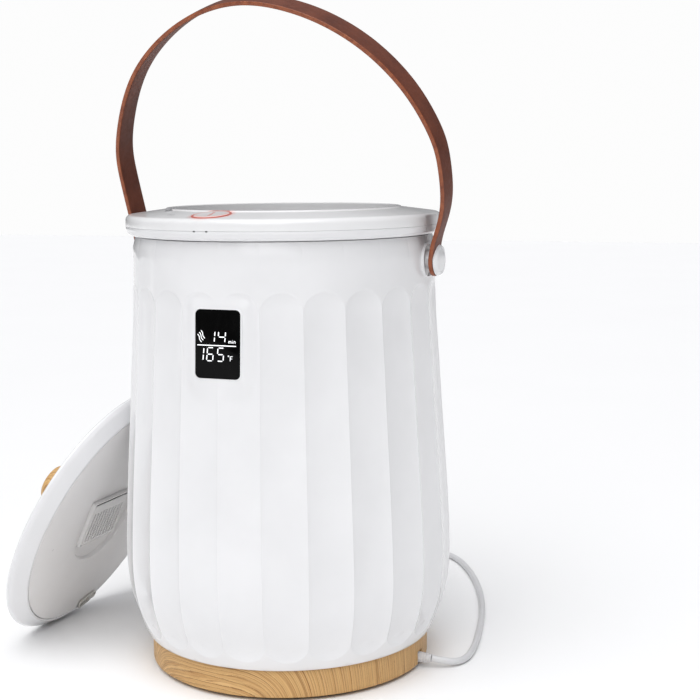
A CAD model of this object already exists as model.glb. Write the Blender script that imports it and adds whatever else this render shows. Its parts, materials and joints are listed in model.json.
"""Looks of the bucket towel warmer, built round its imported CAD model.

Metres, +Z up, in the CAD model's own frame: the display faces -Y, the lid leans on the -X side.
Outlines are written in millimetres and scaled by MM.
"""
import json
import math

import bmesh
import bpy
import numpy as np
from mathutils import Matrix, Vector


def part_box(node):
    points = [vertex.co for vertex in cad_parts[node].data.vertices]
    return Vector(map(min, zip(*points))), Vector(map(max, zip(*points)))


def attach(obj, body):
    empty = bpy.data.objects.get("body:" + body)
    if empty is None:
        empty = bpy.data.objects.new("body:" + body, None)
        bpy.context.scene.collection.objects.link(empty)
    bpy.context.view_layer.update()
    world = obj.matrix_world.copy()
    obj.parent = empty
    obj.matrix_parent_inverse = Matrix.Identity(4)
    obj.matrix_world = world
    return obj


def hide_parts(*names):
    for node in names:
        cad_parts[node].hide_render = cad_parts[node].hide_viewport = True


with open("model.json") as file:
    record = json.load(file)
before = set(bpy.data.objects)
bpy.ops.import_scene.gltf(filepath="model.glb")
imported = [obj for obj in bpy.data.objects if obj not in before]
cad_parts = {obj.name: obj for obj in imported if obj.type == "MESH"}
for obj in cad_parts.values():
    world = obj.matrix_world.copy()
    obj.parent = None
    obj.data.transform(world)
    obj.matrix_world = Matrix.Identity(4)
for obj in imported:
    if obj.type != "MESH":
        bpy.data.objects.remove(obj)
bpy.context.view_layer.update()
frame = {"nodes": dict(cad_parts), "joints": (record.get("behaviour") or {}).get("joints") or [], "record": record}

MM = 0.001
FULL_TURN = 2 * math.pi

# Bucket
FLUTES = 24
FLUTE_DEPTH = 3.2
FLUTE_TOP, ARCH_HEIGHT = 334, 16.5
FLUTE_BOTTOM, BOTTOM_ARCH = 35, 15
SHELL_HEIGHTS = [26.3, 31, 36, 45, 60, 75, 90, 110, 170, 240, 270, 300, 334, 355, 373.6]
SHELL_RADII = [124.3, 126.9, 129.3, 133, 138, 141, 142.3, 142.3, 139.5, 135, 133.2, 131.2, 129.9, 129.5,
               129.6]
FLANGE_TOP, FLANGE_FOOT = 396.0, 392.2    # flange heights at radius 100.2 and 131
FLANGE_SLOPE = math.atan2(FLANGE_TOP - FLANGE_FOOT, 30.8)
STRAP_FLAT_X = 133.2        # the rim is cut flat here, where the strap passes
STRAP_FLAT_HALF = 15

# Handle
STRAP_WIDTH, STRAP_THICKNESS = 26, 3.6
STRAP_LEAN = math.radians(18.0)
PIVOT_X = 136
STRAP_LINE = [(136, -13.5), (136, 0), (136, 10), (142.1, 24), (149, 40), (152.7, 58), (152.5, 80),
              (150.2, 104),
              (129.5, 147.7), (93.8, 186), (46.3, 212.3), (-6.9, 221.6), (-61.6, 205), (-109.0, 165.2),
              (-136.5, 106), (-138.1, 66), (-136.6, 36), (-136, 12), (-136, 0), (-136, -13.5)]

# Lid
LID_TILT = math.radians(25.6)
LID_DOME, LID_RADIUS = 18, 125.5

# Mains lead
CORD_RADIUS = 3
CORD_EXIT = (133, 0, 8.5)
CORD_ROUTE = [(133, 0, 8.5), (138, 0.1, 8.4), (143.5, 2.0, 6.8), (151, 8.5, 4.2), (155.5, 19, 3.2),
              (156.8, 34, 3.2),
              (154.2, 60, 3.2), (148, 94, 3.2), (139, 135, 3.2), (127.5, 176, 3.2), (112.5, 218, 3.2),
              (91, 265, 3.2), (66, 306, 3.2), (45, 326, 3.2), (24, 332.4, 3.2), (2.5, 334.3, 3.2)]
COIL_RADIUS = 31.5
COIL_TURNS = 5.05           # turns up to the end of the top layer
COIL_RUN_DOWN = 0.2         # of a turn, from the top layer down to the floor
COIL_LAYER = 6.1            # from one layer of the coil to the next
CORD_LYING = 3.2            # height of the centre line where the cord lies on the floor

# ---------------------------------------------------------------- places read from the frame


def middle(node):
    low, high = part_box(node)
    return (low + high) / 2


def joint(name):
    return next(j for j in frame["joints"] if j["name"] == name)


RIM_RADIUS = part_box("top_ring")[1].y / MM
LIP_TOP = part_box("top_ring")[1].z / MM
PIVOT_Z = joint("handle_swing")["pos_m"][2] / MM
DISPLAY_SIZE = (39, 54.2)
DISPLAY_LEAN = math.radians(3.3)
DISPLAY_CENTRE = Vector((0, -132.0, 293.8))
BEZEL_EDGE, BEZEL_DEPTH = 1.7, 9

LID_TURN = Matrix.Rotation(-(math.pi / 2 - LID_TILT), 3, "Y") @ Matrix.Rotation(-math.pi / 2, 3, "Z")
LID_AXIS = LID_TURN @ Vector((0, 0, 1))
LID_CENTRE = middle("lid_insulation") - LID_AXIS * 1.2 * MM
LID = Matrix.Translation(LID_CENTRE) @ LID_TURN.to_4x4()


def pressed_frame(joint_name, point):
    """A frame at a point of the flange, with +Z against the way the joint's key is pressed."""
    up = -Vector(joint(joint_name)["axis"]).normalized()
    outward = Vector((point.x, point.y, 0)).normalized()
    side = outward.cross(up).normalized()
    return Matrix.Translation(point) @ Matrix((side, up.cross(side), up)).transposed().to_4x4()


def flange_point(radius):
    return FLANGE_FOOT + (131 - radius) * math.tan(FLANGE_SLOPE)


def on_flange(node):
    """The flange's surface point above a node's centre."""
    centre = middle(node)
    radius = math.hypot(centre.x, centre.y)
    return Vector((centre.x, centre.y, flange_point(radius / MM) * MM))


# ---------------------------------------------------------------- curves and outlines


def smooth_line(knots, spacing):
    """Points about `spacing` apart on a Catmull-Rom curve through the knots."""
    knots = [Vector(k) for k in knots]
    padded = [2 * knots[0] - knots[1], *knots, 2 * knots[-1] - knots[-2]]
    fine = []
    for a, b, c, d in zip(padded, padded[1:], padded[2:], padded[3:]):
        for i in range(24):
            t = i / 24
            fine.append(0.5 * (2 * b + (c - a) * t + (2 * a - 5 * b + 4 * c - d) * t ** 2
                               + (3 * b - a - 3 * c + d) * t ** 3))
    fine.append(knots[-1])
    return evenly_spaced(fine, spacing)


def evenly_spaced(points, spacing):
    travelled = np.cumsum([0.0] + [(b - a).length for a, b in zip(points, points[1:])])
    count = max(2, round(travelled[-1] / spacing) + 1)
    wanted = np.linspace(0, travelled[-1], count)
    columns = [np.interp(wanted, travelled, [p[i] for p in points]) for i in range(len(points[0]))]
    return [Vector(p) for p in zip(*columns)]


def relaxed(points, rounds):
    """The same line with its small bends evened out, except for the last few points at each end."""
    line = [p.copy() for p in points]
    for _ in range(rounds):
        line = [(line[i - 1] + 2 * line[i] + line[i + 1]) / 4 if 8 < i < len(line) - 9 else line[i]
                for i in range(len(line))]
    return line


def natural_spline(xs, ys):
    """A smooth function through the points (xs, ys)."""
    xs, ys = np.array(xs, float), np.array(ys, float)
    n = len(xs)
    steps = np.diff(xs)
    matrix, right = np.zeros((n, n)), np.zeros(n)
    matrix[0, 0] = matrix[-1, -1] = 1
    for i in range(1, n - 1):
        matrix[i, i - 1:i + 2] = steps[i - 1], 2 * (steps[i - 1] + steps[i]), steps[i]
        right[i] = 6 * ((ys[i + 1] - ys[i]) / steps[i] - (ys[i] - ys[i - 1]) / steps[i - 1])
    curve = np.linalg.solve(matrix, right)

    def at(x):
        i = int(np.clip(np.searchsorted(xs, x) - 1, 0, n - 2))
        h, a, b = steps[i], xs[i + 1] - x, x - xs[i]
        return (curve[i] * a ** 3 + curve[i + 1] * b ** 3) / (6 * h) + (ys[i] / h - curve[i] * h / 6) * a + (
            ys[i + 1] / h - curve[i + 1] * h / 6) * b
    return at


def rounded(corners, closed=True, steps=5):
    """Outline through corners (x, y, rounding radius), with each corner replaced by an arc."""
    outline = []
    count = len(corners)
    for i, (x, y, radius) in enumerate(corners):
        here = Vector((x, y))
        if radius <= 0 or (not closed and i in (0, count - 1)):
            outline.append(here)
            continue
        before = (Vector(corners[i - 1][:2]) - here)
        after = (Vector(corners[(i + 1) % count][:2]) - here)
        half_angle = before.angle(after) / 2
        reach = min(radius / math.tan(half_angle), 0.49 * before.length, 0.49 * after.length)
        radius = reach * math.tan(half_angle)
        bisector = (before.normalized() + after.normalized()).normalized()
        centre = here + bisector * (radius / math.sin(half_angle))
        start = here + before.normalized() * reach - centre
        sweep = start.angle_signed(here + after.normalized() * reach - centre)
        outline += [centre + Matrix.Rotation(-sweep * k / steps, 2) @ start for k in range(steps + 1)]
    return outline


def rounded_rectangle(width, height, radius, steps=6):
    w, h = width / 2, height / 2
    return rounded([(-w, -h, radius), (w, -h, radius), (w, h, radius), (-w, h, radius)], steps=steps)


# ---------------------------------------------------------------- meshes


def finished_mesh(builder, name, sharp=38.0):
    bmesh.ops.remove_doubles(builder, verts=builder.verts, dist=1e-7)
    bmesh.ops.recalc_face_normals(builder, faces=builder.faces)
    mesh = bpy.data.meshes.new(name)
    builder.to_mesh(mesh)
    builder.free()
    mesh.shade_smooth()
    mesh.set_sharp_from_angle(angle=math.radians(sharp))
    return mesh


def loft(rings, closed_along=False, caps=False):
    """A bmesh whose surface runs through the rings, which all have the same number of points."""
    builder = bmesh.new()
    rows = [[builder.verts.new(p) for p in ring] for ring in rings]
    pairs = list(zip(rows, rows[1:]))
    if closed_along:
        pairs.append((rows[-1], rows[0]))
    for first, second in pairs:
        count = len(first)
        for i in range(count):
            j = (i + 1) % count
            builder.faces.new((first[i], first[j], second[j], second[i]))
    if caps:
        builder.faces.new(rows[0])
        builder.faces.new(rows[-1])
    return builder


def lathe(outline, sides=192, closed=True, angles=None):
    """Turns an outline of (radius, height), in millimetres, round Z. A radius of 0 becomes a pole."""
    angles = angles or [FULL_TURN * i / sides for i in range(sides)]
    rings = [[Vector((max(r, 0) * math.sin(a), -max(r, 0) * math.cos(a), z)) * MM for a in angles]
             for r, z in outline]
    builder = bmesh.new()
    rows = []
    for (r, z), ring in zip(outline, rings):
        if r < 1e-6:
            rows.append([builder.verts.new((0, 0, z * MM))] * len(ring))
        else:
            rows.append([builder.verts.new(p) for p in ring])
    pairs = list(zip(rows, rows[1:]))
    if closed:
        pairs.append((rows[-1], rows[0]))
    for first, second in pairs:
        for i in range(len(angles)):
            j = (i + 1) % len(angles)
            corners = list(dict.fromkeys((first[i], first[j], second[j], second[i])))
            if len(corners) > 2:
                builder.faces.new(corners)
    return builder


def plate(outline, back, front, edge=0.3, edge_steps=3):
    """A flat solid with rounded front and back edges. outline is in the XY plane, in millimetres."""
    centre = sum(outline, Vector((0, 0))) / len(outline)
    extent = max((p - centre).length for p in outline)
    levels = []
    for k in range(edge_steps + 1):
        turn = math.pi / 2 * k / edge_steps
        levels.append((edge * (1 - math.sin(turn)), back + edge * (1 - math.cos(turn))))
    levels += [(inset, back + front - z) for inset, z in reversed(levels)]
    rings = []
    for inset, z in levels:
        share = 1 - inset / extent
        rings.append([Vector((*(centre + (p - centre) * share), z)) * MM for p in outline])
    return loft(rings, caps=True)


def bar(builder, start, end, width, low, high):
    """Adds a straight stroke with pointed ends, lying in the XY plane, in millimetres."""
    start, end = Vector(start), Vector(end)
    along = (end - start).normalized()
    side = Vector((-along.y, along.x)) * width / 2
    tip = along * width / 2
    outline = [start, start + tip + side, end - tip + side, end, end - tip - side, start + tip - side]
    bottom = [builder.verts.new(Vector((*p, low)) * MM) for p in outline]
    top = [builder.verts.new(Vector((*p, high)) * MM) for p in outline]
    builder.faces.new(bottom)
    builder.faces.new(top)
    for i in range(6):
        j = (i + 1) % 6
        builder.faces.new((bottom[i], bottom[j], top[j], top[i]))


def cut(piece, cutter):
    """Takes the cutter bmesh out of the piece's mesh."""
    mesh = bpy.data.meshes.new("cutter")
    bmesh.ops.recalc_face_normals(cutter, faces=cutter.faces)
    cutter.to_mesh(mesh)
    cutter.free()
    tool = bpy.data.objects.new("cutter", mesh)
    bpy.context.scene.collection.objects.link(tool)
    boolean = piece.modifiers.new("cut", "BOOLEAN")
    boolean.solver = "EXACT"
    boolean.object = tool
    bpy.context.view_layer.update()
    graph = bpy.context.evaluated_depsgraph_get()
    result = bpy.data.meshes.new_from_object(piece.evaluated_get(graph))
    piece.modifiers.clear()
    piece.data = result
    bpy.data.objects.remove(tool)
    result.shade_smooth()
    result.set_sharp_from_angle(angle=math.radians(38))


def moved(builder, place):
    """The bmesh itself, moved by a matrix."""
    bmesh.ops.transform(builder, matrix=place, verts=builder.verts)
    return builder


def box_cutter(size, centre, turn=None):
    builder = bmesh.new()
    bmesh.ops.create_cube(builder, size=1.0)
    bmesh.ops.scale(builder, vec=Vector(size) * MM, verts=builder.verts)
    bmesh.ops.translate(builder, vec=Vector(centre) * MM, verts=builder.verts)
    if turn is not None:
        moved(builder, turn)
    return builder


def joined(builders):
    """One bmesh with the faces of several."""
    whole = bmesh.new()
    for builder in builders:
        mesh = bpy.data.meshes.new("part")
        builder.to_mesh(mesh)
        builder.free()
        whole.from_mesh(mesh)
        bpy.data.meshes.remove(mesh)
    return whole


def add_piece(name, builder, material, body, replaces=(), place=None, sharp=38.0):
    """Makes an object from a bmesh built at `place`, and lets it ride on a body."""
    mesh = finished_mesh(builder, name, sharp)
    if place is not None:
        mesh.transform(place)
    piece = bpy.data.objects.new(name, mesh)
    bpy.context.scene.collection.objects.link(piece)
    mesh.materials.append(material)
    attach(piece, body)
    if replaces:
        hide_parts(*replaces)
    return piece


# ---------------------------------------------------------------- materials


class Recipe:
    """A Principled material and short calls that add nodes to it."""

    def __init__(self, name, color, roughness, metallic=0.0, specular=0.5, coat=0.0, coat_roughness=0.03):
        self.material = bpy.data.materials.new(name)
        self.material.use_nodes = True
        self.tree = self.material.node_tree
        self.shader = self.tree.nodes["Principled BSDF"]
        self.put("Base Color", (*color, 1))
        self.put("Roughness", roughness)
        self.put("Metallic", metallic)
        self.put("Specular IOR Level", specular)
        self.put("Coat Weight", coat)
        self.put("Coat Roughness", coat_roughness)
        self.material.diffuse_color = (*color, 1)

    def put(self, socket, value):
        self.shader.inputs[socket].default_value = value

    def node(self, kind, inputs=None, **settings):
        item = self.tree.nodes.new(kind)
        for key, value in settings.items():
            setattr(item, key, value)
        for key, value in (inputs or {}).items():
            if isinstance(value, bpy.types.NodeSocket):
                self.tree.links.new(value, item.inputs[key])
            else:
                item.inputs[key].default_value = value
        return item

    def link(self, output, socket):
        self.tree.links.new(output, self.shader.inputs[socket])

    def place(self, scale=(1, 1, 1), source="Object"):
        """The chosen coordinates, in metres, times scale."""
        coordinates = self.node("ShaderNodeTexCoord")
        inputs = {"Vector": coordinates.outputs[source], "Scale": scale}
        return self.node("ShaderNodeMapping", inputs).outputs["Vector"]

    def noise(self, scale, detail=4.0, roughness=0.55, vector=None, distortion=0.0):
        inputs = {"Scale": scale, "Detail": detail, "Roughness": roughness, "Distortion": distortion,
                  "Vector": vector or self.place()}
        return self.node("ShaderNodeTexNoise", inputs).outputs["Fac"]

    def ramp(self, factor, *stops):
        """A colour ramp with (position, colour or grey value) stops."""
        item = self.node("ShaderNodeValToRGB", {"Fac": factor})
        elements = item.color_ramp.elements
        while len(elements) < len(stops):
            elements.new(0.5)
        for element, (position, value) in zip(elements, stops):
            element.position = position
            element.color = (*value, 1) if hasattr(value, "__len__") else (value, value, value, 1)
        return item.outputs["Color"]

    def mix(self, factor, first, second, blend="MIX"):
        item = self.node("ShaderNodeMix", data_type="RGBA", blend_type=blend)
        for socket, value in zip((item.inputs["Factor"], item.inputs[6], item.inputs[7]),
                                 (factor, first, second)):
            if isinstance(value, bpy.types.NodeSocket):
                self.tree.links.new(value, socket)
            else:
                socket.default_value = value if socket.type == "VALUE" else (*value, 1)
        return item.outputs[2]

    def bump(self, height, distance, strength=1.0, under=None):
        inputs = {"Height": height, "Distance": distance, "Strength": strength}
        if under is not None:
            inputs["Normal"] = under
        normal = self.node("ShaderNodeBump", inputs).outputs["Normal"]
        self.link(normal, "Normal")
        return normal


def moulded_plastic(name, color, roughness, coat=0.0, grain=0.00002, tone=0.02):
    """Moulded plastic: faint cloudiness of colour and gloss, and a fine skin."""
    recipe = Recipe(name, color, roughness, coat=coat)
    dark = tuple(c * (1 - tone) for c in color)
    light = tuple(min(1, c * (1 + tone)) for c in color)
    recipe.link(recipe.ramp(recipe.noise(14, 3), (0.35, dark), (0.65, light)), "Base Color")
    recipe.link(recipe.ramp(recipe.noise(38, 5), (0.3, roughness * 0.8), (0.7, roughness * 1.25)),
                "Roughness")
    wave = recipe.bump(recipe.noise(16, 0), 0.0003, 0.2)
    recipe.bump(recipe.noise(1900, 1), grain, 0.4, wave)
    return recipe


def tinted_near_key(recipe, near, far, tint_near, tint_far):
    """Adds the lit key ring's glow: its share goes from one value to the other between two distances."""
    coordinates = recipe.node("ShaderNodeTexCoord").outputs["Object"]
    distance = recipe.node("ShaderNodeVectorMath", {0: coordinates, 1: on_flange("power_key_ring")},
                           operation="DISTANCE").outputs["Value"]
    spill = recipe.node("ShaderNodeMapRange", {"Value": distance, "From Min": near, "From Max": far,
                                               "To Min": tint_near, "To Max": tint_far},
                        interpolation_type="SMOOTHERSTEP")
    white = recipe.shader.inputs["Base Color"].links[0].from_socket
    recipe.link(recipe.mix(spill.outputs["Result"], white, (0.95, 0.45, 0.40)), "Base Color")
    return recipe.material


def make_oak(name, lines=165.0, arc=3.0):
    """Oak seen along a UV map whose U runs across the growth rings and V along the fibres, in metres."""
    recipe = Recipe(name, (0.6, 0.36, 0.15), 0.45, specular=0.35)
    wide = recipe.noise(arc * 8, 2, 0.5, recipe.place((1, 0.5, 1), "UV"))
    fine = recipe.noise(150, 4, 0.6, recipe.place((1, 0.35, 1), "UV"))
    uv = recipe.place((1, 1, 1), "UV")
    bend = recipe.node("ShaderNodeVectorMath", {0: wide, 1: (0.042, 0, 0)},
                       operation="MULTIPLY").outputs["Vector"]
    ripple = recipe.node("ShaderNodeVectorMath", {0: fine, 1: (0.0085, 0, 0)},
                         operation="MULTIPLY").outputs["Vector"]
    warped = recipe.node("ShaderNodeVectorMath", {0: uv, 1: bend}, operation="ADD").outputs["Vector"]
    warped = recipe.node("ShaderNodeVectorMath", {0: warped, 1: ripple}, operation="ADD").outputs["Vector"]

    def growth_lines(per_metre, distortion):
        inputs = {"Vector": warped, "Scale": per_metre * FULL_TURN / 20, "Distortion": distortion,
                  "Detail": 3.0,
                  "Detail Scale": 60.0, "Detail Roughness": 0.6}
        return recipe.node("ShaderNodeTexWave", inputs, wave_type="BANDS", bands_direction="X",
                           wave_profile="SAW").outputs["Fac"]

    rings, thin_rings = growth_lines(lines, 0.8), growth_lines(lines * 2.7, 1.6)
    along = recipe.node("ShaderNodeMapping", {"Vector": warped, "Scale": (1.0, 0.06, 1.0)}).outputs["Vector"]
    fibres = recipe.noise(1300, 4, 0.65, along)
    flecks = recipe.noise(520, 3, 0.55, along)
    patches = recipe.noise(24, 3, 0.5, recipe.place((1, 0.6, 1), "UV"))
    pale, mid, dark = (0.72, 0.47, 0.205), (0.56, 0.315, 0.115), (0.235, 0.095, 0.028)
    wood = recipe.ramp(rings, (0.0, pale), (0.55, (0.67, 0.41, 0.165)), (0.86, mid), (0.94, dark),
                       (0.98, dark),
                       (1.0, pale))
    wood = recipe.mix(recipe.ramp(patches, (0.35, 0.0), (0.7, 0.5)), wood, (0.66, 0.40, 0.16))
    wood = recipe.mix(recipe.ramp(thin_rings, (0.62, 0.0), (0.9, 0.42), (1.0, 0.0)), wood, dark)
    wood = recipe.mix(recipe.ramp(fibres, (0.30, 0.75), (0.50, 0.0)), wood, (0.36, 0.165, 0.055))
    wood = recipe.mix(recipe.ramp(fibres, (0.52, 0.0), (0.72, 0.55)), wood, (0.80, 0.56, 0.28))
    wood = recipe.mix(recipe.ramp(flecks, (0.26, 0.7), (0.38, 0.0)), wood, (0.16, 0.065, 0.02))
    recipe.link(wood, "Base Color")
    recipe.link(recipe.ramp(fibres, (0.3, 0.55), (0.7, 0.38)), "Roughness")
    first = recipe.bump(rings, 0.00012, 0.35)
    recipe.bump(fibres, 0.00010, 0.6, first)
    return recipe.material


def make_leather():
    """Smooth brown faux leather with a fine pebble, faint creases and cloudy dye."""
    recipe = Recipe("strap_leather", (0.14, 0.042, 0.024), 0.5, specular=0.28, coat=0.04, coat_roughness=0.4)
    tone = recipe.noise(48, 5, 0.6)
    recipe.link(recipe.ramp(tone, (0.3, (0.100, 0.024, 0.011)), (0.7, (0.170, 0.046, 0.022))), "Base Color")
    cells = recipe.node("ShaderNodeTexVoronoi",
                        {"Vector": recipe.place(), "Scale": 1300.0, "Randomness": 0.9})
    recipe.link(recipe.ramp(recipe.noise(300, 3), (0.3, 0.52), (0.7, 0.66)), "Roughness")
    pebble = recipe.bump(cells.outputs["Distance"], 0.00012, 0.35)
    creases = recipe.noise(90, 3, 0.6, recipe.place((1, 0.25, 1)))
    recipe.bump(creases, 0.0005, 0.2, pebble)
    return recipe.material


def make_edge_paint():
    """The strap's painted edge: warmer and smoother than its face, a little worn."""
    recipe = Recipe("strap_edge_paint", (0.26, 0.070, 0.028), 0.38, specular=0.4, coat=0.1,
                    coat_roughness=0.25)
    worn = recipe.noise(170, 4, 0.6)
    recipe.link(recipe.ramp(worn, (0.32, (0.20, 0.048, 0.019)), (0.66, (0.36, 0.105, 0.040))), "Base Color")
    recipe.bump(recipe.noise(900, 3), 0.00006, 0.5)
    return recipe.material


def make_metal(name, color, roughness, stretch=(1, 1, 1), scale=700):
    recipe = Recipe(name, color, roughness, metallic=1.0)
    streaks = recipe.noise(scale, 4, 0.6, recipe.place(stretch))
    recipe.link(recipe.ramp(streaks, (0.3, roughness * 0.75), (0.7, roughness * 1.4)), "Roughness")
    recipe.link(recipe.ramp(streaks, (0.3, tuple(c * 0.9 for c in color)), (0.7, color)), "Base Color")
    recipe.bump(streaks, 0.00002, 0.4)
    return recipe.material


def make_rough(name, color, roughness, scale, distance, spread=0.25):
    """Rubber, felt or board: speckled colour and a matt, grainy surface."""
    recipe = Recipe(name, color, roughness, specular=0.3)
    speckle = recipe.noise(scale, 5, 0.65)
    recipe.link(recipe.ramp(speckle, (0.3, tuple(c * (1 - spread) for c in color)),
                            (0.7, tuple(min(1, c * (1 + spread)) for c in color))), "Base Color")
    recipe.bump(speckle, distance, 0.8)
    return recipe.material


def make_light(name, color, strength, base):
    """A lit part: mostly its own glow, a little uneven as a light guide is."""
    recipe = Recipe(name, base, 0.35)
    uneven = recipe.ramp(recipe.noise(260, 3), (0.3, tuple(c * 0.85 for c in color)), (0.7, color))
    recipe.link(uneven, "Emission Color")
    recipe.put("Emission Strength", strength)
    recipe.link(recipe.ramp(recipe.noise(400, 2), (0.3, tuple(c * 0.9 for c in base)), (0.7, base)),
                "Base Color")
    return recipe.material


def make_display_glass():
    """Polished black acrylic with the faint smears of use."""
    recipe = Recipe("display_black", (0.003, 0.003, 0.004), 0.07, specular=0.1)
    smears = recipe.noise(120, 5, 0.6, recipe.place((1, 1, 0.5)))
    recipe.link(recipe.ramp(smears, (0.42, 0.05), (0.75, 0.22)), "Roughness")
    recipe.link(recipe.ramp(smears, (0.3, 0.001), (0.8, 0.004)), "Base Color")
    return recipe.material


GLOSS_WHITE = moulded_plastic("gloss_white_plastic", (0.84, 0.84, 0.85), 0.17, coat=0.3).material
FLANGE_WHITE = tinted_near_key(moulded_plastic("flange_white", (0.85, 0.85, 0.855), 0.17, coat=0.3),
                               0.0155, 0.0215, 0.5, 0.0)
KEY_WHITE = tinted_near_key(moulded_plastic("key_white", (0.87, 0.86, 0.86), 0.2, coat=0.2),
                            0.0095, 0.0148, 0.06, 0.5)
LINER_WHITE = moulded_plastic("satin_liner_plastic", (0.88, 0.865, 0.855), 0.34, grain=0.00002).material
CORD_GREY = moulded_plastic("cord_pvc", (0.72, 0.72, 0.73), 0.38, grain=0.00005, tone=0.05).material
DARK_PLASTIC = moulded_plastic("dark_nylon", (0.035, 0.035, 0.038), 0.45, grain=0.00006, tone=0.2).material
GREY_PLASTIC = moulded_plastic("plunger_nylon", (0.33, 0.33, 0.34), 0.4, grain=0.00004, tone=0.08).material
RECESS_DARK = moulded_plastic("seam_shadow_plastic", (0.09, 0.09, 0.095), 0.6, grain=0.00004,
                              tone=0.1).material
BRACKET_METAL = make_metal("bracket_nickel", (0.72, 0.70, 0.66), 0.36)
OAK_BASE = make_oak("oak_base")
OAK_KNOB = make_oak("oak_knob", lines=300.0, arc=6.0)
LEATHER = make_leather()
EDGE_PAINT = make_edge_paint()
DISPLAY_BLACK = make_display_glass()
DIGIT_WHITE = make_light("display_digits", (0.95, 0.97, 1.0), 1.0, (0.6, 0.6, 0.6))
RING_RED = make_light("key_ring_glow", (0.95, 0.16, 0.11), 0.12, (0.50, 0.13, 0.10))
POT_METAL = make_metal("pot_coated_aluminium", (0.88, 0.88, 0.885), 0.36, (1, 1, 0.03), 500)
STEEL = make_metal("zinc_steel", (0.62, 0.61, 0.59), 0.3)
ALUMINIUM = make_metal("plain_aluminium", (0.76, 0.77, 0.78), 0.35)
RUBBER = make_rough("pad_rubber_skin", (0.035, 0.035, 0.036), 0.8, 1600, 0.00015)
FELT = make_rough("fragrance_felt_fibres", (0.05, 0.048, 0.045), 0.95, 900, 0.0005, 0.2)
FOAM = make_rough("glass_fibre_felt", (0.78, 0.77, 0.71), 0.95, 500, 0.0006, 0.12)
CIRCUIT = make_rough("circuit_board_mask", (0.015, 0.16, 0.07), 0.35, 350, 0.00004, 0.4)
SILICONE = make_rough("heater_silicone_weave", (0.5, 0.13, 0.06), 0.6, 800, 0.0002, 0.2)

LOOP_FABRIC = make_rough("tie_loop_fabric", (0.30, 0.30, 0.31), 0.9, 1800, 0.0003, 0.3)

SLOT_MATERIALS = {
    "gloss_white": GLOSS_WHITE, "liner_white": LINER_WHITE, "oak": OAK_BASE, "brown_leather": LEATHER,
    "display_glass": DISPLAY_BLACK, "key_ring_light": RING_RED, "pot_coating": POT_METAL,
    "aluminium": ALUMINIUM,
    "steel": STEEL, "heater_silicone": SILICONE, "insulation_foam": FOAM, "dark_plastic": DARK_PLASTIC,
    "grey_plastic": GREY_PLASTIC, "pad_rubber": RUBBER, "circuit_board": CIRCUIT, "cord_grey": CORD_GREY,
    "fragrance_felt": FELT,
}


def finish_cad_nodes():
    """Gives every CAD node the node-based material of its slot."""
    for entry in frame["record"]["subparts"]:
        node = frame["nodes"][entry["node"]]
        node.data.materials.clear()
        node.data.materials.append(SLOT_MATERIALS[entry["material_slot"]])


# ---------------------------------------------------------------- stage, light and camera


def make_stage():
    floor_size = 12.0
    builder = bmesh.new()
    bmesh.ops.create_grid(builder, x_segments=12, y_segments=12, size=floor_size / 2)
    mesh = finished_mesh(builder, "studio_floor")
    floor = bpy.data.objects.new("studio_floor", mesh)
    bpy.context.scene.collection.objects.link(floor)
    floor.location = (0, 0, -0.0002)
    recipe = Recipe("studio_paper", (0.95, 0.95, 0.95), 0.9, specular=0.0)
    recipe.link(recipe.ramp(recipe.noise(3, 2), (0.3, 0.948), (0.7, 0.956)), "Base Color")
    mesh.materials.append(recipe.material)


def add_light(name, location, target, size, energy):
    data = bpy.data.lights.new(name, "AREA")
    data.shape = "RECTANGLE"
    data.size, data.size_y = size
    data.energy = energy
    lamp = bpy.data.objects.new(name, data)
    bpy.context.scene.collection.objects.link(lamp)
    lamp.location = location
    lamp.rotation_euler = (Vector(target) - Vector(location)).to_track_quat("-Z", "Y").to_euler()


def add_sun(name, direction, strength, angle):
    """A very wide sun, which lights floor and bucket alike wherever they are."""
    data = bpy.data.lights.new(name, "SUN")
    data.energy = strength
    data.angle = math.radians(angle)
    lamp = bpy.data.objects.new(name, data)
    bpy.context.scene.collection.objects.link(lamp)
    lamp.rotation_euler = Vector(direction).to_track_quat("-Z", "Y").to_euler()


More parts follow.
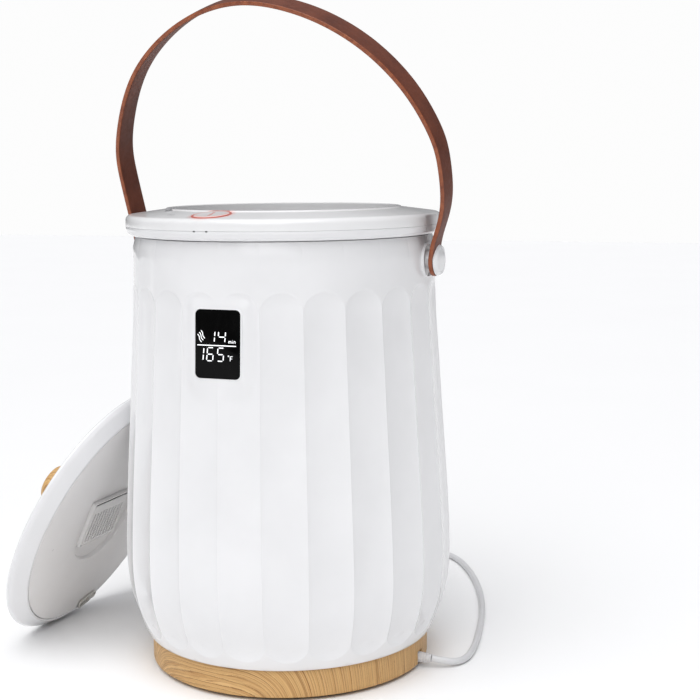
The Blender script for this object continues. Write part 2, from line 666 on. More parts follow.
def make_light_and_camera():
    scene = bpy.context.scene
    scene.view_settings.view_transform = "Standard"
    world = bpy.data.worlds.new("studio")
    scene.world = world
    world.use_nodes = True
    nodes, links = world.node_tree.nodes, world.node_tree.links
    fill = nodes["Background"]
    fill.inputs["Color"].default_value = (0.965, 0.97, 1.0, 1)
    direction = nodes.new("ShaderNodeTexCoord")
    split = nodes.new("ShaderNodeSeparateXYZ")
    links.new(direction.outputs["Generated"], split.inputs["Vector"])
    brightness = nodes.new("ShaderNodeMapRange")        # dim at the horizon, bright overhead
    brightness.inputs["To Min"].default_value = 0.10
    brightness.inputs["To Max"].default_value = 0.74
    links.new(split.outputs["Z"], brightness.inputs["Value"])
    links.new(brightness.outputs["Result"], fill.inputs["Strength"])
    seen = nodes.new("ShaderNodeBackground")
    seen.inputs["Color"].default_value = (1, 1, 1, 1)
    seen.inputs["Strength"].default_value = 0.98
    ray = nodes.new("ShaderNodeLightPath")
    choose = nodes.new("ShaderNodeMixShader")
    links.new(ray.outputs["Is Camera Ray"], choose.inputs["Fac"])
    links.new(fill.outputs["Background"], choose.inputs[1])
    links.new(seen.outputs["Background"], choose.inputs[2])
    links.new(choose.outputs["Shader"], nodes["World Output"].inputs["Surface"])

    add_sun("ceiling_glow", (-0.03, 0.5, -1.0), 1.75, 60)
    add_light("key_softbox", (0.3, -1.82, 1.15), (0, 0, 0.28), (1.2, 1.0), 5.2)
    add_light("left_strip", (-1.4, 0.0, 0.6), (0, 0, 0.25), (0.05, 1.0), 0.2)

    data = bpy.data.cameras.new("photo_camera")
    data.sensor_width = 36
    data.lens = 71.52
    camera = bpy.data.objects.new("photo_camera", data)
    scene.collection.objects.link(camera)
    right = Vector((0.93182, 0.36280, -0.00981)).normalized()
    forward = Vector((-0.36066, 0.92265, -0.13654)).normalized()
    up = right.cross(forward)
    camera.matrix_world = (Matrix.Translation((0.48976, -1.10001, 0.43716))
                           @ Matrix((right, up, -forward)).transposed().to_4x4())
    scene.camera = camera


# ---------------------------------------------------------------- mains lead


def smoothstep(low, high, value):
    share = min(1.0, max(0.0, (value - low) / (high - low)))
    return share * share * (3 - 2 * share)


def coil_points(centre):
    """The coil's turns: two side by side on the floor, two on them, one on top, then down its outer side."""
    floor_z = CORD_ROUTE[-1][2]
    outer, inner = COIL_RADIUS + COIL_LAYER / 2, COIL_RADIUS - COIL_LAYER / 2
    stages = [(outer, 0), (inner, 0), (inner, 1), (outer, 1), (outer, 2)]
    per_turn = 30
    points = []
    for i in range(round(COIL_TURNS * per_turn), -1, -1):
        turn = i / per_turn
        stage = min(int(turn), len(stages) - 1)
        radius, layer = stages[stage]
        if stage + 1 < len(stages):
            share = smoothstep(0.84, 1.0, turn - stage)
            next_radius, next_layer = stages[stage + 1]
            radius += (next_radius - radius) * share
            layer += (next_layer - layer) * share
        angle = math.pi / 2 + FULL_TURN * turn
        points.append(centre + Vector((radius * math.cos(angle), radius * math.sin(angle),
                                       floor_z + COIL_LAYER * layer)))
    points.reverse()
    drop = CORD_RADIUS * 2 + 1.0
    for k in range(1, 7):
        share = smoothstep(0, 6, k)
        turn = COIL_TURNS + COIL_RUN_DOWN * k / 6
        angle = math.pi / 2 + FULL_TURN * turn
        radius = outer + drop * smoothstep(0, 0.75, share)
        height = floor_z + COIL_LAYER * 2 * (1 - smoothstep(0.25, 1.0, share))
        points.append(centre + Vector((radius * math.cos(angle), radius * math.sin(angle), height)))
    return points


def make_mains_lead():
    coil_centre = middle("cord_coil") / MM
    coil_centre.z = 0
    plug_low, plug_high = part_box("plug_body")
    plug_axis = middle("plug_body") / MM
    plug_rear = plug_high.y / MM
    route = smooth_line([*CORD_ROUTE, coil_centre + Vector((2, COIL_RADIUS + COIL_LAYER / 2, CORD_LYING))],
                        11)
    coil = coil_points(coil_centre)
    tail_end = Vector((plug_axis.x, plug_rear - 5, plug_axis.z))
    tail = smooth_line([coil[-2], coil[-1], Vector((plug_axis.x + 0.4, plug_rear + 13, 5.2)),
                        Vector((plug_axis.x, plug_rear + 4, 8.6)), tail_end], 6)
    points = [p * MM for p in [*route[:-1], *coil, *tail[2:]]]

    curve = bpy.data.curves.new("mains_cord", "CURVE")
    curve.dimensions = "3D"
    curve.bevel_depth = CORD_RADIUS * MM
    curve.bevel_resolution = 5
    curve.resolution_u = 4
    curve.use_fill_caps = True
    spline = curve.splines.new("NURBS")
    spline.points.add(len(points) - 1)
    for target, point in zip(spline.points, points):
        target.co = (*point, 1.0)
    spline.order_u = 4
    spline.use_endpoint_u = True
    curve.materials.append(CORD_GREY)
    cord = bpy.data.objects.new("mains_cord", curve)
    bpy.context.scene.collection.objects.link(cord)
    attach(cord, "base")
    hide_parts("cord_tube", "cord_coil")

    relief_low, relief_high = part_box("cord_strain_relief")
    length_mm = (relief_high.x - relief_low.x) / MM
    outline = [(0, 0), (5, 0)]
    ribs = 6
    for i in range(ribs):
        start = 8 + i * (length_mm - 9) / ribs
        width = (length_mm - 9) / ribs
        radius = 4.9 - 1.1 * i / ribs
        outline += [(radius, start), (radius, start + width * 0.55), (radius - 0.7, start + width * 0.62),
                    (radius - 0.7, start + width * 0.93)]
    outline += [(3.5, length_mm - 0.5), (3.15, length_mm), (0, length_mm)]
    place = (Matrix.Translation((relief_low.x, 0, CORD_EXIT[2] * MM)) @ Matrix.Rotation(math.pi / 2, 4, "Y"))
    relief = add_piece("strain_relief_ribbed", lathe(outline, 40, closed=False), CORD_GREY, "base",
                       ["cord_strain_relief"], place)

    plug = make_plug(plug_low, plug_high, plug_axis)
    blades = make_blades()
    tie = make_cord_tie(coil_centre)


def make_plug(low, high, axis):
    """Moulded two-blade plug: a waisted grip with side ridges, and a ribbed taper towards the cord."""
    width, height = (high.x - low.x) / MM, (high.z - low.z) / MM
    front, rear = low.y / MM, high.y / MM
    taper_start = rear - 18
    sections = [(front, 0.90, 3.0), (front + 0.8, 0.97, 3.4), (front + 2.2, 1.0, 4.0), (front + 8, 1.0, 5.0),
                (front + 14, 0.93, 6.0), (front + 20, 0.86, 6.5), (front + 25, 0.80, 6.5),
                (taper_start - 2, 0.70, 6.5),
                (taper_start - 0.4, 0.56, 5.5)]
    rings = []
    for y, share, corner in sections:
        outline = rounded_rectangle(width * share, height * min(1, share + 0.04), corner * share, steps=5)
        rings.append([Vector((axis.x + p.x, y, axis.z + p.y)) * MM for p in outline])
    count = len(rings[0])
    ribs = 5
    for i in range(ribs * 4 + 1):
        share = i / (ribs * 4)
        groove = 0.55 if i % 4 in (2, 3) else 0.0
        radius = 5.9 - 2.1 * share - groove
        ring = []
        for k in range(count):
            direction = rings[0][k] - Vector((axis.x, front, axis.z)) * MM
            direction.y = 0
            ring.append(Vector((axis.x, taper_start + 17.6 * share, axis.z)) * MM
                        + direction.normalized() * radius * MM)
        rings.append(ring)
    rings.append([Vector((axis.x, rear, axis.z)) * MM
                  + (p - Vector((axis.x, taper_start + 17.6, axis.z)) * MM) * 0.86
                  for p in rings[-1]])
    plug = add_piece("plug_moulded", loft(rings, caps=True), CORD_GREY, "base", ["plug_body"])
    ridges = []
    for side in (-1, 1):
        for i in range(5):
            outline = rounded_rectangle(1.3, height * 0.52, 0.6, 3)
            place = (Matrix.Translation(Vector((axis.x + side * (width / 2 - 0.5 - 0.35 * i),
                                                front + 7 + 3 * i, axis.z)) * MM)
                     @ Matrix.Rotation(side * math.pi / 2, 4, "Y") @ Matrix.Rotation(math.pi / 2, 4, "Z"))
            ridge = plate(outline, -0.6, 0.9, edge=0.4)
            moved(ridge, place)
            ridges.append(ridge)
    grip = add_piece("plug_grip_ridges", joined(ridges), CORD_GREY, "base")
    grip.parent = plug
    grip.matrix_parent_inverse = Matrix.Identity(4)
    return plug


def make_blades():
    blades = []
    for node in ("plug_blade_left", "plug_blade_right"):
        low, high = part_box(node)
        centre = (low + high) / 2
        length, height, thickness = ((high - low)[i] / MM for i in (1, 2, 0))
        outline = rounded([(-length / 2, -height / 2, 1.8), (length / 2, -height / 2, 0),
                           (length / 2, height / 2, 0),
                           (-length / 2, height / 2, 1.8)], steps=4)
        builder = plate(outline, -thickness / 2, thickness / 2, edge=0.25)
        place = (Matrix.Translation(centre)
                 @ Matrix(((0, 0, 1, 0), (1, 0, 0, 0), (0, 1, 0, 0), (0, 0, 0, 1))))
        blade = add_piece(node + "_formed", builder, STEEL, "base", [node], place)
        hole = lathe([(0, -3), (1.6, -3), (1.6, 3), (0, 3)], 24, closed=False)
        moved(hole, Matrix.Translation(centre + Vector((0, -length * 0.26 * MM, 0)))
              @ Matrix.Rotation(math.pi / 2, 4, "Y"))
        cut(blade, hole)
        blades.append(blade)
    return blades


def make_cord_tie(centre):
    """A hook-and-loop band round the coil's turns, on the side towards the bucket."""
    half_width = COIL_LAYER / 2 + CORD_RADIUS + 0.45
    low, high = 0.15, CORD_LYING + COIL_LAYER * 2 + CORD_RADIUS + 0.5
    outer = rounded([(COIL_RADIUS - half_width - 0.5, low, 2.6), (COIL_RADIUS + half_width + 0.5, low, 2.6),
                     (COIL_RADIUS + half_width + 0.5, high + 0.2, 3.2),
                     (COIL_RADIUS - half_width + 2.0, high + 0.2, 3.2),
                     (COIL_RADIUS - half_width - 0.5, 12.5, 3.0)], steps=5)
    middle_point = sum(outer, Vector((0, 0))) / len(outer)
    rings = []
    for y, share in ((-5.6, 1.0), (-6, 0.99), (-6, 0.94), (6, 0.94), (6, 0.99), (5.6, 1.0)):
        rings.append([Vector((y, -(middle_point.x + (p.x - middle_point.x) * share),
                              max(low, middle_point.y + (p.y - middle_point.y) * share))) * MM
                              for p in outer])
    place = Matrix.Translation(Vector((centre.x, centre.y, 0)) * MM)
    return add_piece("cord_tie", loft(rings, closed_along=True), LOOP_FABRIC, "base",
                     place=place)


# ---------------------------------------------------------------- bucket


def flute_samples():
    """Positions across one flute, from -1 to 1, closer together at its edges."""
    return [-1.0, -0.965, -0.91, -0.8, -0.62, -0.42, -0.2, 0.0, 0.2, 0.42, 0.62, 0.8, 0.91, 0.965]


def scallop(distance):
    """Depth of the flute at a share of the way from its middle to its edge."""
    return FLUTE_DEPTH * max(0.0, 1 - distance ** 2) ** 0.88


def display_share(across, height):
    """1 beside the display's surround, falling to 0 further away: there the wall is drawn out to meet it."""
    aside = max(0.0, abs(across) - DISPLAY_SIZE[0] / 2 - BEZEL_EDGE)
    above = max(0.0, abs(height - DISPLAY_CENTRE.z) - DISPLAY_SIZE[1] / 2 - BEZEL_EDGE)
    return 1 - smoothstep(1, 11, math.hypot(aside, above))


def make_bucket():
    radius_at = natural_spline(SHELL_HEIGHTS, SHELL_RADII)
    samples = flute_samples()
    columns = [((i + (u + 1) / 2) * FULL_TURN / FLUTES, u) for i in range(FLUTES) for u in samples]
    top_spring = FLUTE_TOP - ARCH_HEIGHT
    bottom_spring = FLUTE_BOTTOM + BOTTOM_ARCH
    rows = []

    def arch(u):
        return math.sqrt(max(0.0, 1 - u * u))

    def add_row(height_at, distance_at):
        ring = []
        for angle, u in columns:
            z = height_at(u)
            radius = radius_at(z)
            across = radius * math.sin(angle)
            near = display_share(across, z) if math.cos(angle) > 0 else 0.0
            radius -= scallop(distance_at(u, z)) * (1 - near)
            radius += 1.4 * near * min(1.0, (across / 20) ** 2)
            radius -= 2.6 * smoothstep(369.5, 374.5, z)
            ring.append(Vector((radius * math.sin(angle), -radius * math.cos(angle), z)) * MM)
        rows.append(ring)

    def distance(u, z):
        if z > top_spring:
            return math.hypot(u, (z - top_spring) / ARCH_HEIGHT)
        if z < bottom_spring:
            return math.hypot(u, (bottom_spring - z) / BOTTOM_ARCH)
        return abs(u)

    foot = [(96, 26.3), (96, 28.8)]
    inner_rows = [(radius_at(z) - 2.4 - FLUTE_DEPTH * (1 if 45 < z < 330 else 0), z)
                  for z in (28.8, 45, 60, 90, 140, 200, 260, 322, 336, 373.4)]
    for s in np.linspace(1, 0, 8):              # plain band above the flutes
        add_row(lambda u, s=s: (FLUTE_TOP - ARCH_HEIGHT * (1 - arch(u))) * (1 - s ** 1.5) + 373.4 * s ** 1.5,
                lambda u, z: 1.0)
    for s in (0.985, 0.95, 0.9, 0.83, 0.74, 0.62, 0.48, 0.34, 0.18, 0.0):      # the arched flute tops
        low = top_spring - 14
        add_row(lambda u, s=s: low + s * (top_spring + ARCH_HEIGHT * arch(u) - low), distance)
    for z in np.linspace(top_spring - 20, bottom_spring + 24, 26):
        add_row(lambda u, z=z: z, distance)
    for s in (0.0, 0.18, 0.34, 0.48, 0.62, 0.74, 0.83, 0.9, 0.95, 0.985):      # the arched flute feet
        high = bottom_spring + 18
        add_row(lambda u, s=s: high + s * (bottom_spring - BOTTOM_ARCH * arch(u) - high), distance)
    for s in np.linspace(0, 1, 7):
        add_row(lambda u, s=s: (bottom_spring - BOTTOM_ARCH * arch(u)) * (1 - s) + 27.1 * s, lambda u, z: 1.0)
    plain = [(123.4, 26.5), (122.6, 26.3), *foot, *inner_rows]
    for radius, z in plain:
        rows.append([Vector((radius * math.sin(a), -radius * math.cos(a), z)) * MM for a, _ in columns])
    builder = loft(rows, closed_along=True)
    shell = add_piece("bucket_shell", builder, GLOSS_WHITE, "base", ["outer_shell"], sharp=60)
    opening = plate(rounded_rectangle(DISPLAY_SIZE[0] + 1.8, DISPLAY_SIZE[1] + 1.8, 4.5, 6), -16, 12,
                    edge=0.01)
    moved(opening, display_place())
    cut(shell, opening)


def rim_angles():
    """Angles round the rim, with extra ones where the strap's flats begin and end."""
    angles = {round(FULL_TURN * i / 240, 6) for i in range(240)}
    edge = math.asin(STRAP_FLAT_HALF / RIM_RADIUS)
    for side in (math.pi / 2, 3 * math.pi / 2):
        for offset in (-edge - 0.006, -edge, edge, edge + 0.006):
            angles.add(round(side + offset, 6))
    return sorted(angles)


def flatten_for_strap(builder):
    for vert in builder.verts:
        x, y, limit = vert.co.x, vert.co.y, STRAP_FLAT_X * MM
        if abs(x) > limit and abs(y) <= (STRAP_FLAT_HALF + 0.05) * MM:
            vert.co.x = math.copysign(limit, x)


def make_rim():
    ring_outline = rounded([
        (97.3, 372, 0.3), (100, 372, 0.3), (100, 392, 0.5), (131.2, 388.4, 0.8), (131.6, 382.05, 0.2),
        (RIM_RADIUS, 382.05, 0.35), (RIM_RADIUS, flange_point(RIM_RADIUS) - 0.4, 4.6),
        (101.1, flange_point(101.1), 0.9),
        (100.4, LIP_TOP, 0.5), (97.3, LIP_TOP, 0.8)], steps=7)
    ring = lathe(ring_outline, angles=rim_angles())
    flatten_for_strap(ring)
    top = add_piece("rim_top_ring", ring, FLANGE_WHITE, "base", ["top_ring"])
    holes = []
    for joint_name, node, radius in (("power_key_press", "power_key_ring", 16.3),
                                     ("lid_switch_press", "lid_switch_plunger", 3.2)):
        hole = lathe([(0, -7), (radius, -7), (radius, 6), (0, 6)], 64, closed=False)
        place = pressed_frame(joint_name, on_flange(node))
        moved(hole, place)
        holes.append(hole)
    cut(top, joined(holes))

    band_outline = rounded([
        (126.5, 374.3, 0.3), (130.2, 374.3, 1.2), (133.4, 376.4, 3.2), (134.9, 380, 2.0),
        (134.9, 381.95, 0.35),
        (126.5, 381.95, 0.3)], steps=6)
    band = lathe(band_outline, angles=rim_angles())
    flatten_for_strap(band)
    add_piece("rim_lower_band", band, GLOSS_WHITE, "base", ["rim_band"])

    slots = []
    for angle in (-7.4, -2.6):                  # two snap slots in the seam, below the power key
        slot = plate(rounded_rectangle(2.1, 1.1, 0.45, 4), -1.2, 0.12, edge=0.15)
        turn = (Matrix.Rotation(math.radians(angle), 4, "Z")
                @ Matrix.Translation(Vector((0, -RIM_RADIUS, 381.9)) * MM)
                @ Matrix.Rotation(math.pi / 2, 4, "X"))
        moved(slot, turn)
        slots.append(slot)
    add_piece("seam_snap_slots", joined(slots), RECESS_DARK, "base")


def make_pot():
    low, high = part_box("inner_pot")
    top, bottom = high.z / MM, low.z / MM
    outline = rounded([
        (0, bottom + 1.2, 0), (94, bottom + 1.2, 9), (94, top, 2.2), (103, top, 0.5), (103, top - 1.2, 0.4),
        (95.2, top - 1.2, 1.0), (95.2, bottom, 10), (0, bottom, 0)], closed=False, steps=7)
    add_piece("towel_pot", lathe(outline, 160, closed=False), POT_METAL, "base",
              ["inner_pot"])


def wood_map(piece, centre_arc, centre_height, radius):
    """UV: U is the distance from the heart of the growth rings, V runs along them. Both in metres."""
    mesh = piece.data
    layer = mesh.uv_layers.new(name="grain") if not mesh.uv_layers else mesh.uv_layers[0]
    for loop in mesh.loops:
        point = mesh.vertices[loop.vertex_index].co
        turn = math.atan2(point.x, -point.y) - centre_arc / radius
        across = math.atan2(math.sin(turn), math.cos(turn)) * radius
        near = min(abs(across), 0.12)
        aside = near ** 2 / 0.10 + (abs(across) - near) * 2.4
        depth = radius - math.hypot(point.x, point.y)
        up = (point.z - centre_height + depth * 0.6) * 1.35
        layer.data[loop.index].uv = (math.hypot(aside, up), across * 0.3 + up * 0.1 + depth)


def make_base():
    low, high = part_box("base_ring")
    outer, top, bottom = high.y / MM, high.z / MM, low.z / MM
    outline = rounded([(109, bottom, 0.4), (outer, bottom, 1.3), (outer, top, 1.0), (109, top, 0.4)], steps=4)
    angles = [FULL_TURN * (i + 0.5) / 240 - math.pi for i in range(240)]
    dense = []
    for a, b in zip(outline, [*outline[1:], outline[0]]):
        pieces = max(1, round((b - a).length / 3.5))
        dense += [tuple(a + (b - a) * k / pieces) for k in range(pieces)]
    ring = add_piece("oak_base_ring", lathe(dense, angles=angles), OAK_BASE, "base", ["base_ring"])
    cut(ring, box_cutter((30, 11, 24), (115, 0, 2.5)))
    wood_map(ring, -0.030, -0.016, outer * MM)

    pad_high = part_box("anti_slip_pad")[1]
    pad = [(0, 0, 0), (20, 0, 0)]
    for start in (24, 44, 64, 84, 104):
        pad += [(start, 0, 0), (start + 0.8, 0.8, 0), (start + 3.2, 0.8, 0), (start + 4, 0, 0)]
    radius, thickness = pad_high.y / MM, pad_high.z / MM
    pad += [(radius, 0, 0.7), (radius, thickness, 0.5), (0, thickness, 0)]
    pad_outline = rounded(pad, closed=False, steps=3)
    add_piece("anti_slip_pad_tread", lathe(pad_outline, 160, closed=False), RUBBER, "base",
              ["anti_slip_pad"])


# ---------------------------------------------------------------- display and keys


def display_place():
    """From a plate in the XY plane to the leaning display: its +Z becomes the wall's outward direction."""
    return Matrix.Translation(DISPLAY_CENTRE * MM) @ Matrix.Rotation(math.pi / 2 - DISPLAY_LEAN, 4, "X")


SEGMENTS_OF = {"1": "bc", "4": "bcfg", "5": "acdfg", "6": "acdefg"}


def add_digit(builder, digit, x, y, width, height, low, high):
    """A seven-segment digit whose lower left corner is at (x, y), leaning a little to the right."""
    lean = math.tan(math.radians(5))
    gap, thick = 0.5, 0.85
    half = height / 2
    ends = {"a": ((0, height), (width, height)), "b": ((width, height), (width, half)),
            "c": ((width, half), (width, 0)),
            "d": ((0, 0), (width, 0)), "e": ((0, half), (0, 0)), "f": ((0, height), (0, half)),
            "g": ((0, half), (width, half))}
    for key in SEGMENTS_OF[digit]:
        start, end = (Vector(p) for p in ends[key])
        along = (end - start).normalized() * gap
        start, end = start + along, end - along
        bar(builder, (x + start.x + start.y * lean, y + start.y), (x + end.x + end.y * lean, y + end.y),
            thick, low, high)


def make_display():
    window_width, window_height = DISPLAY_SIZE
    width, height = window_width + 2 * BEZEL_EDGE, window_height + 2 * BEZEL_EDGE
    depth = BEZEL_DEPTH
    levels = [(0, -depth), (0, -0.7), (0.2, -0.25), (0.7, 0.0)]
    rings = [[Vector((p.x, p.y, z)) * MM
              for p in rounded_rectangle(width - 2 * i, height - 2 * i, 5.9 - i, 8)]
             for i, z in levels]
    inner = [(0.0, -0.05), (0.0, -0.45), (0.0, -1.6)]
    rings += [[Vector((p.x, p.y, z)) * MM
               for p in rounded_rectangle(window_width + 0.4, window_height + 0.4, 4.3, 8)]
              for _, z in inner]
    rings += [[Vector((p.x, p.y, -depth)) * MM
               for p in rounded_rectangle(window_width - 3, window_height - 3, 4.3, 8)]]
    add_piece("display_surround", loft(rings, closed_along=True), GLOSS_WHITE, "base",
              ["display_bezel"],
              display_place())
    window = plate(rounded_rectangle(window_width, window_height, 4.1, 8), -2.0, -0.12, edge=0.25)
    add_piece("display_panel", window, DISPLAY_BLACK, "base", ["display_window"],
              display_place())

    low, high = -0.13, -0.05
    marks = bmesh.new()
    add_digit(marks, "1", -8.4, 1.4, 5.4, 8.9, low, high)
    add_digit(marks, "4", 0.2, 1.4, 6.0, 8.9, low, high)
    for digit, left in (("1", -18.1), ("6", -9.6), ("5", -0.5)):
        add_digit(marks, digit, left, -13.2, 5.3, 10.4, low, high)
    bar(marks, (-18.0, -1.0), (16.2, -1.0), 0.75, low, high)
    for k in range(3):                          # heat symbol: three slanted waves
        start = Vector((-17.6 + 1.45 * k, 7.6 + 1.5 * k))
        line = [start + Vector((3.3 * t + 0.5 * math.sin(FULL_TURN * t), -6.0 * t))
                for t in np.linspace(0, 1, 7)]
        for a, b in zip(line, line[1:]):
            bar(marks, a, b + (b - a) * 0.35, 0.7, low, high)
    letters = {"m": [((0, 0), (0, 1.9)), ((0, 1.8), (1.1, 1.8)), ((1.1, 1.8), (1.1, 0)),
                     ((1.1, 1.8), (2.2, 1.8)),
                     ((2.2, 1.8), (2.2, 0))],
               "i": [((0, 0), (0, 1.8)), ((0, 2.4), (0, 2.8))],
               "n": [((0, 0), (0, 1.9)), ((0, 1.8), (1.2, 1.8)), ((1.2, 1.8), (1.2, 0))]}
    for letter, left in (("m", 9.6), ("i", 12.9), ("n", 14.1)):
        for a, b in letters[letter]:
            bar(marks, (left + a[0], 1.0 + a[1]), (left + b[0], 1.0 + b[1]), 0.45, low, high)
    for a, b in (((11.0, -12.9), (11.0, -9.1)), ((11.0, -9.2), (13.1, -9.2)), ((11.0, -11.0), (12.7, -11.0))):
        bar(marks, a, b, 0.5, low, high)
    for i in range(8):
        a, b = (Vector((9.5, -8.9)) + 0.55 * Vector((math.cos(t), math.sin(t)))
                for t in (FULL_TURN * i / 8, FULL_TURN * (i + 1.3) / 8))
        bar(marks, a, b, 0.35, low, high)
    add_piece("display_marks", marks, DIGIT_WHITE, "base", place=display_place())


def make_keys():
    key_place = pressed_frame("power_key_press", on_flange("power_key_ring"))
    cap_outline = rounded([(0, 0.42, 0), (11, 0.52, 3), (14.4, 0.62, 0.7), (14.4, -4.4, 0.2), (0, -4.4, 0)],
                          closed=False, steps=5)
    add_piece("power_key_dished_cap", lathe(cap_outline, 96, closed=False), KEY_WHITE, "power_key",
              ["power_key_cap"], key_place)
    ring_outline = rounded([(14.7, -2.6, 0), (16.2, -2.6, 0), (16.2, 0.32, 0.4), (14.7, 0.32, 0.4)], steps=4)
    add_piece("power_key_lit_ring", lathe(ring_outline, 96), RING_RED, "base",
              ["power_key_ring"], key_place)
    symbol = plate(rounded_rectangle(1.15, 18.5, 0.55, 4), 0.35, 0.56, edge=0.05)
    turn = Matrix.Rotation(math.radians(15), 4, "Z")
    add_piece("power_key_symbol", symbol, RING_RED, "power_key", place=key_place @ turn)

    plunger_place = pressed_frame("lid_switch_press", on_flange("lid_switch_plunger"))
    plunger = rounded([(0, 2.5, 0), (2.7, 2.15, 1.2), (2.7, -6.8, 0.3), (0, -6.8, 0)], closed=False, steps=6)
    add_piece("lid_switch_domed_pin", lathe(plunger, 48, closed=False), GREY_PLASTIC, "lid_plunger",
              ["lid_switch_plunger"], plunger_place)

    mark = bmesh.new()                          # small moulded lid symbol beside the pin
    for a, b in (((-3.2, -1.2), (-0.6, 0.9)), ((-0.2, -0.4), (2.4, 1.7)), ((-3.4, -2.2), (-2.3, -2.2))):
        bar(mark, a, b, 0.5, -0.1, 0.05)
    angle = math.radians(-26)
    radius = 119
    point = Vector((radius * math.sin(angle), -radius * math.cos(angle), flange_point(radius))) * MM
    outward = Vector((math.sin(angle), -math.cos(angle), 0))
    up = (Vector((0, 0, 1)) + outward * math.tan(FLANGE_SLOPE)).normalized()
    side = outward.cross(up).normalized()
    place = Matrix.Translation(point) @ Matrix((side, up.cross(side), up)).transposed().to_4x4()
    add_piece("flange_lid_symbol", mark, GREY_PLASTIC, "base", place=place)


# ---------------------------------------------------------------- handle


def make_strap():
    """Flat leather band with crowned faces, rounded painted edges and round tabs on the rivets."""
    line = relaxed(smooth_line([Vector((x, 0, h)) for x, h in STRAP_LINE], 2.0), 60)
    travelled = np.cumsum([0.0] + [(b - a).length for a, b in zip(line, line[1:])])
    length = float(travelled[-1])
    columns = [[p[i] for p in line] for i in range(3)]

    def at(s):
        return Vector([float(np.interp(s, travelled, column)) for column in columns])

    tab = [0.05, 0.25, 0.7, 1.4, 2.4, 3.6, 5.2, 7.2, 9.6, 12.2]
    stations = sorted({*tab, *[length - s for s in tab], *np.linspace(15, length - 15, 190).tolist()})
    half_thick, rounding = STRAP_THICKNESS / 2, 0.95
    rings = []
    for s in stations:
        along = (at(min(length, s + 2)) - at(max(0, s - 2))).normalized()
        outward = Vector((along.z, 0, -along.x))
        end = min(s, length - s)
        half = STRAP_WIDTH / 2
        if end < half:
            half = math.sqrt(max(0.0, half ** 2 - (half - end) ** 2))
        thick = half_thick * min(1.0, 0.55 + end / 3)
        soft = min(rounding, half * 0.8)
        section = []
        for side in (1, -1):                    # two crowned faces and two rounded edges
            section += [(side * (half - soft * (1 - math.sin(turn))),
                         -side * (thick - soft * (1 - math.cos(turn))))
                        for turn in (0, 0.5, 1.0, 1.5)]
            section += [(side * (half - soft * (1 - math.sin(turn))),
                         side * (thick - soft * (1 - math.cos(turn))))
                        for turn in (1.5, 1.0, 0.5, 0)]
            section += [(side * half * 0.6, side * (thick + 0.12)), (0.0, side * (thick + 0.18)),
                        (-side * half * 0.6, side * (thick + 0.12))]
        ring = [at(s) + Vector((0, b, 0)) + outward * a for b, a in section]
        rings.append([p * MM for p in ring])
    builder = loft(rings, caps=True)
    place = Matrix.Translation((0, 0, PIVOT_Z * MM)) @ Matrix.Rotation(STRAP_LEAN, 4, "X")
    strap = add_piece("strap_handle", builder, LEATHER, "handle", ["handle_strap"], place,
                      sharp=50)
    holes = []
    for side in (-1, 1):
        hole = lathe([(0, -9), (3.5, -9), (3.5, 9), (0, 9)], 32, closed=False)
        moved(hole, Matrix.Translation(Vector((side * PIVOT_X, 0, PIVOT_Z)) * MM)
              @ Matrix.Rotation(math.pi / 2, 4, "Y"))
        holes.append(hole)
    cut(strap, joined(holes))
    strap.data.materials.clear()
    strap.data.materials.append(LEATHER)
    strap.data.materials.append(EDGE_PAINT)
    across = place.to_3x3() @ Vector((0, 1, 0))
    for face in strap.data.polygons:
        face.material_index = 1 if abs(face.normal.dot(across)) > 0.45 else 0
    return strap


def make_rivets():
    inner = PIVOT_X - STRAP_THICKNESS / 2
    outer = PIVOT_X + STRAP_THICKNESS / 2 + 0.5
    for side, label in ((-1, "left"), (1, "right")):
        place = Matrix.Translation((0, 0, PIVOT_Z * MM)) @ Matrix.Rotation(side * math.pi / 2, 4, "Y")
        boss = rounded([
            (3.5, 127, 0), (14.5, 127, 0), (14.4, 131.2, 0.5), (13.5, 131.2, 0.4), (13.2, 129.6, 0.5),
            (7.2, 129.6, 0.5), (6.6, inner - 0.9, 0.5), (3.5, inner - 0.9, 0)], steps=6)
        add_piece(f"{label}_boss_moulded", lathe(boss, 72), GLOSS_WHITE, "base",
                  [f"{label}_pivot_boss"], place)
        cap = rounded([
            (0, outer + 4.0, 0), (9.4, outer + 3.75, 0.5), (9.7, outer + 3.4, 0.1), (10.0, outer + 3.4, 0.1),
            (10.3, outer + 3.95, 0.4), (11.6, outer + 3.6, 1.6), (13, outer + 1.7, 1.6), (13, outer, 0.3),
            (3.2, outer, 0.2), (3.2, 118, 0.4), (0, 118, 0)], closed=False, steps=5)
        add_piece(f"{label}_rivet_cap", lathe(cap, 72, closed=False), GLOSS_WHITE, "base",
                  [f"{label}_rivet"], place)


# ---------------------------------------------------------------- lid


def dome(radius, drop=0.0):
    return LID_DOME * (1 - (radius / LID_RADIUS) ** 2) - drop


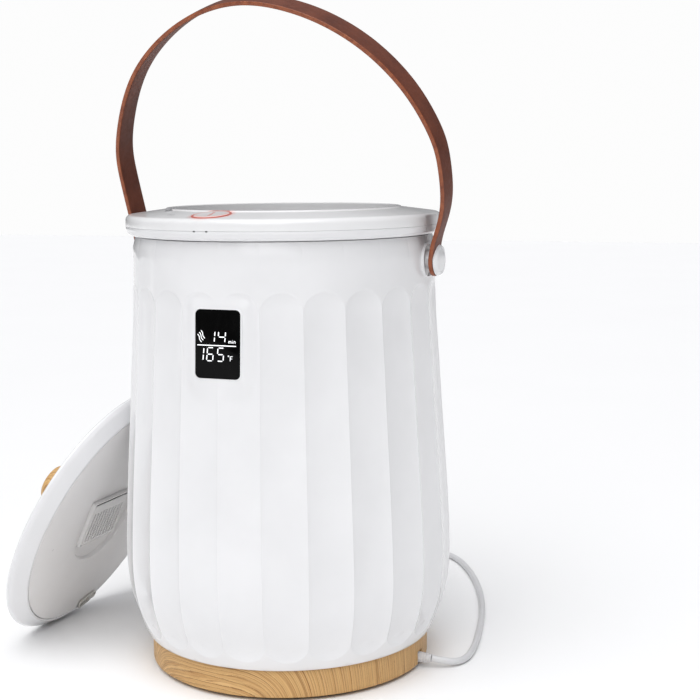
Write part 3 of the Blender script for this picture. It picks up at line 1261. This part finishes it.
def make_lid():
    outer = [(r, dome(r)) for r in np.linspace(0, 118, 26)]
    inner = [(r, dome(r, 2.5)) for r in np.linspace(119, 0, 16)]
    edge = rounded([(118, dome(118), 0), (LID_RADIUS + 0.6, 1.0, 5.0), (123.4, -4.2, 9), (113.4, -12.6, 2.4),
                    (111.6, -13, 0.5),
                    (110.6, -12.2, 0.3), (115.5, -7.6, 2), (121.2, -2.6, 1.5), (119, dome(119, 2.5), 0)],
                   closed=False, steps=8)
    outline = [*outer[:-1], *edge, *inner[1:]]
    add_piece("lid_dome", lathe(outline, 240, closed=False), GLOSS_WHITE, "lid", ["lid_shell"],
              LID)

    recess = 47.5
    liner = rounded([
        (0, -6.6, 0), (recess + 2, -6.6, 0), (recess + 2, -10.4, 0), (110.3, -10.4, 0.2),
        (110.3, -12.85, 0.4),
        (recess, -12.5, 0.9), (recess - 1.6, -8.9, 0.9), (0, -8.8, 0)], closed=False, steps=5)
    panel = add_piece("lid_underside_panel", lathe(liner, 200, closed=False), LINER_WHITE, "lid",
                      ["lid_liner"], LID)
    tray_y = -4
    cut(panel, box_cutter((62.6, 48.6, 10), (0, tray_y, -8), LID))

    tray_rings = []
    for inset, z in ((0, -1.7), (0, -11.9), (0.15, -12.2), (0.5, -12.3), (1.3, -12.3), (1.6, -12.1),
                     (1.7, -11.7),
                     (1.7, -3.6)):
        outline = rounded_rectangle(62 - 2 * inset, 48 - 2 * inset, max(0.8, 3.2 - inset), 5)
        tray_rings.append([Vector((p.x, p.y + tray_y, z)) * MM for p in outline])
    add_piece("fragrance_tray_moulded", loft(tray_rings, caps=True), LINER_WHITE, "lid",
              ["fragrance_tray"], LID)

    cover_outline = [p + Vector((0, tray_y - 0.6)) for p in rounded_rectangle(56.6, 42.6, 2.2, 5)]
    cover = add_piece("fragrance_cover_slotted", plate(cover_outline, -12.3, -11.4, edge=0.25), LINER_WHITE,
                      "fragrance_door", ["fragrance_cover"], LID)
    slots = [box_cutter((2.4, 30.7, 8), ((i - 4.5) * 5.2, -7.6, -11.3)) for i in range(10)]
    slot_tool = joined(slots)
    moved(slot_tool, LID)
    cut(cover, slot_tool)

    pad_outline = [p + Vector((0, tray_y)) for p in rounded_rectangle(50, 36, 3, 5)]
    pad = plate(pad_outline, -8.3, -4.1, edge=0.8, edge_steps=4)
    felt = add_piece("fragrance_felt_pad", pad, FELT, "lid", ["fragrance_pad"], LID)

    make_bracket()
    make_knob()


def make_bracket():
    """Plated hook plate near the liner's edge, with a slot, a screw and a small eye."""
    place = LID @ Matrix.Translation(Vector((-28, -104.5, -14.1)) * MM) @ Matrix.Rotation(-0.262, 4, "Z")
    outline = rounded([(-11, -3.4, 2.5), (-4, -4.5, 2.0), (12.8, -4.5, 3.2), (12.8, 4.5, 3.2), (-4, 4.5, 2.0),
                       (-11, 3.4, 2.5)], steps=6)
    bracket = add_piece("lid_hook_plate", plate(outline, -0.8, 0.8, edge=0.35), BRACKET_METAL, "lid",
                        ["lid_bracket"], place)
    slot_tool = plate([p + Vector((7, 0)) for p in rounded_rectangle(8, 3, 1.45, 5)], -4, 4, edge=0.01)
    moved(slot_tool, place)
    cut(bracket, slot_tool)
    eye_rings = []
    for i in range(40):
        angle = FULL_TURN * i / 40
        centre = Vector((3.4 * math.cos(angle), 3.4 * math.sin(angle), 0))
        outward = Vector((math.cos(angle), math.sin(angle), 0))
        eye_rings.append([(centre + outward * 0.9 * math.cos(t) + Vector((0, 0, 1.0 * math.sin(t)))
                           + Vector((-10.6, 0, -0.2))) * MM
                           for t in np.linspace(0, FULL_TURN, 12, endpoint=False)])
    add_piece("lid_hook_eye", loft(eye_rings, closed_along=True), BRACKET_METAL, "lid", place=place)
    screw_place = place @ Matrix.Translation(Vector((-0.8, 0, -1.8)) * MM) @ Matrix.Rotation(math.pi, 4, "X")
    head = rounded([(0, -0.7, 0), (2.2, -0.7, 0.1), (2.2, 0.45, 0.5), (0, 0.75, 0)], closed=False, steps=4)
    screw = add_piece("lid_hook_screw", lathe(head, 40, closed=False), STEEL, "lid",
                      ["bracket_screw"], screw_place)
    for size in ((2.6, 0.55, 1.2), (0.55, 2.6, 1.2)):
        slot = box_cutter(size, (0, 0, 0.8))
        moved(slot, screw_place)
        cut(screw, slot)


def make_knob():
    """Turned oak knob, its grain running along its axis."""
    outline = rounded([(0, 54, 0), (12, 53.6, 8), (17.2, 52.4, 4), (19, 48, 4), (18.6, 43.5, 4),
                       (16.5, 40.5, 4),
                       (12.0, 33, 8), (10.6, 27, 8), (10.9, 20, 3), (12.2, 18.2, 0.8), (0, 18.2, 0)],
                      closed=False, steps=6)
    knob = add_piece("oak_lid_knob", lathe(outline, 96, closed=False), OAK_KNOB, "lid",
                     ["lid_knob"])
    layer = knob.data.uv_layers.new(name="grain")
    for loop in knob.data.loops:
        point = knob.data.vertices[loop.vertex_index].co
        layer.data[loop.index].uv = (math.hypot(point.x + 0.05, point.y * 0.8), point.z * 0.9 + point.y * 0.3)
    knob.data.transform(LID)
    return knob


# ---------------------------------------------------------------- all of it

finish_cad_nodes()
make_stage()
make_light_and_camera()
make_mains_lead()
make_bucket()
make_rim()
make_pot()
make_base()
make_display()
make_keys()
make_strap()
make_rivets()
make_lid()
